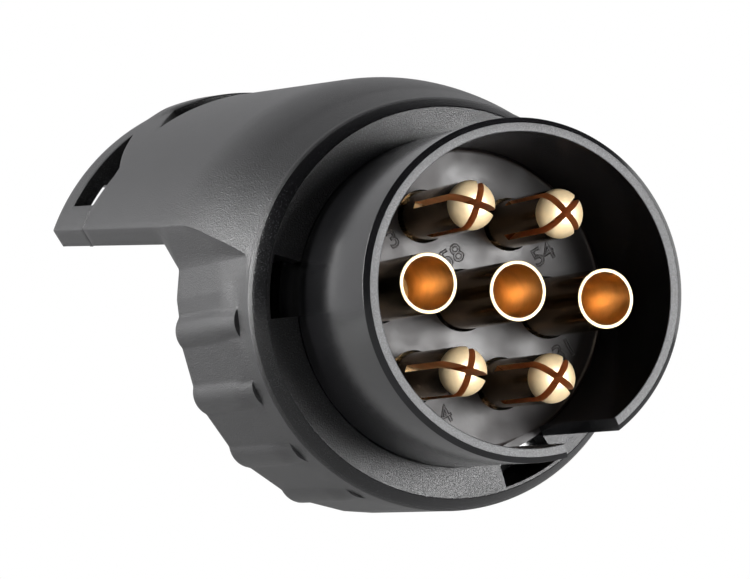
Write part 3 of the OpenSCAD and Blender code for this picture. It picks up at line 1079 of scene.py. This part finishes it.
CAMERA_LENS = 169.63
CAMERA_PLACE = (-0.155106, -0.384690, -0.036771)
CAMERA_AHEAD = (0.351804, 0.931673, 0.090667)
CAMERA_UP = (-0.080116, -0.066535, 0.994563)

# The strength of the world's light over the direction's Y, from the front to the rear.
WORLD_GRADIENT = {"From Min": 0.32, "From Max": 0.85, "To Min": 0.012, "To Max": 0.66}

# Direction from the origin, distance and size in metres, and power in watts.
PANELS = {
    "front_panel": ((0.37, -0.91, -0.22), 0.6, (0.31, 0.44), 17.0),
    "side_panel": ((-0.45, -0.88, 0.1), 0.6, (0.5, 0.5), 0.25),
    "left_panel": ((-0.80, 0.58, 0.14), 0.6, (0.12, 0.36), 3.6),
    "right_panel": ((0.93, 0.2, 0.3), 0.7, (0.5, 0.5), 1.2),
}
GROUND_REACH = 600
GROUND_DROP = 35


def make_camera():
    """A long lens to the left of the front and a little below the axis."""
    data = bpy.data.cameras.new("camera")
    data.lens = CAMERA_LENS
    data.sensor_width = 36
    data.clip_start = 0.01
    camera = bpy.data.objects.new("camera", data)
    bpy.context.scene.collection.objects.link(camera)
    ahead = Vector(CAMERA_AHEAD).normalized()
    up = Vector(CAMERA_UP)
    right = ahead.cross(up).normalized()
    up = right.cross(ahead)
    turn = Matrix((right, up, -ahead)).transposed()
    camera.matrix_world = Matrix.Translation(CAMERA_PLACE) @ turn.to_4x4()
    bpy.context.scene.camera = camera


def add_panel(name, direction, distance, size, power):
    """A soft rectangular light that faces the origin."""
    data = bpy.data.lights.new(name, "AREA")
    data.shape = "RECTANGLE"
    data.size, data.size_y = size
    data.energy = power
    lamp = bpy.data.objects.new(name, data)
    bpy.context.scene.collection.objects.link(lamp)
    spot = Vector(direction).normalized() * distance
    lamp.matrix_world = Matrix.Translation(spot) @ spot.to_track_quat("Z", "Y").to_matrix().to_4x4()


def make_world():
    """Plain white behind the object; the light comes from a gradient that is brightest at the rear."""
    world = bpy.data.worlds.new("studio")
    world.use_nodes = True
    tree = world.node_tree
    tree.nodes.clear()
    out = tree.nodes.new("ShaderNodeOutputWorld")
    mix = tree.nodes.new("ShaderNodeMixShader")
    path = tree.nodes.new("ShaderNodeLightPath")
    seen = tree.nodes.new("ShaderNodeBackground")
    lit = tree.nodes.new("ShaderNodeBackground")
    way = tree.nodes.new("ShaderNodeTexCoord")
    split = tree.nodes.new("ShaderNodeSeparateXYZ")
    sweep = tree.nodes.new("ShaderNodeMapRange")
    sweep.interpolation_type = "SMOOTHSTEP"
    for socket, value in WORLD_GRADIENT.items():
        sweep.inputs[socket].default_value = value
    seen.inputs["Color"].default_value = (1, 1, 1, 1)
    lit.inputs["Color"].default_value = (0.98, 0.98, 1, 1)
    tree.links.new(way.outputs["Generated"], split.inputs[0])
    tree.links.new(split.outputs["Y"], sweep.inputs["Value"])
    tree.links.new(sweep.outputs["Result"], lit.inputs["Strength"])
    tree.links.new(path.outputs["Is Camera Ray"], mix.inputs[0])
    tree.links.new(lit.outputs[0], mix.inputs[1])
    tree.links.new(seen.outputs[0], mix.inputs[2])
    tree.links.new(mix.outputs[0], out.inputs["Surface"])
    scene = bpy.context.scene
    scene.world = world
    scene.view_settings.view_transform = "Standard"


def make_ground():
    """A pale floor some way below the object."""
    skin = Skin()
    low = cad_box[0].z / MM - GROUND_DROP
    line = np.linspace(-GROUND_REACH, GROUND_REACH, 9)
    skin.grid([[(x, y, low) for x in line] for y in line])
    ground = new_piece("ground", skin.points, skin.faces, [], None)
    f = Finish("ground_paint")
    f.colour(f.ramp(f.noise(60, detail=2), (0.3, 0.78), (0.7, 0.82)))
    f.roughness(f.noise(40), 0.7, 0.8)
    ground.data.materials.append(f.material)


make_camera()
make_world()
for panel, settings in PANELS.items():
    add_panel(panel, *settings)
make_ground()
make_housing()
make_nose()
for place_name, slot_turn in PINS.items():
    make_split_pin(f"split_pin_{place_name}", slot_turn)
for place_name in TUBES:
    make_tube_contact(f"tube_contact_{place_name}")
make_numbers()
dress_cad_nodes()
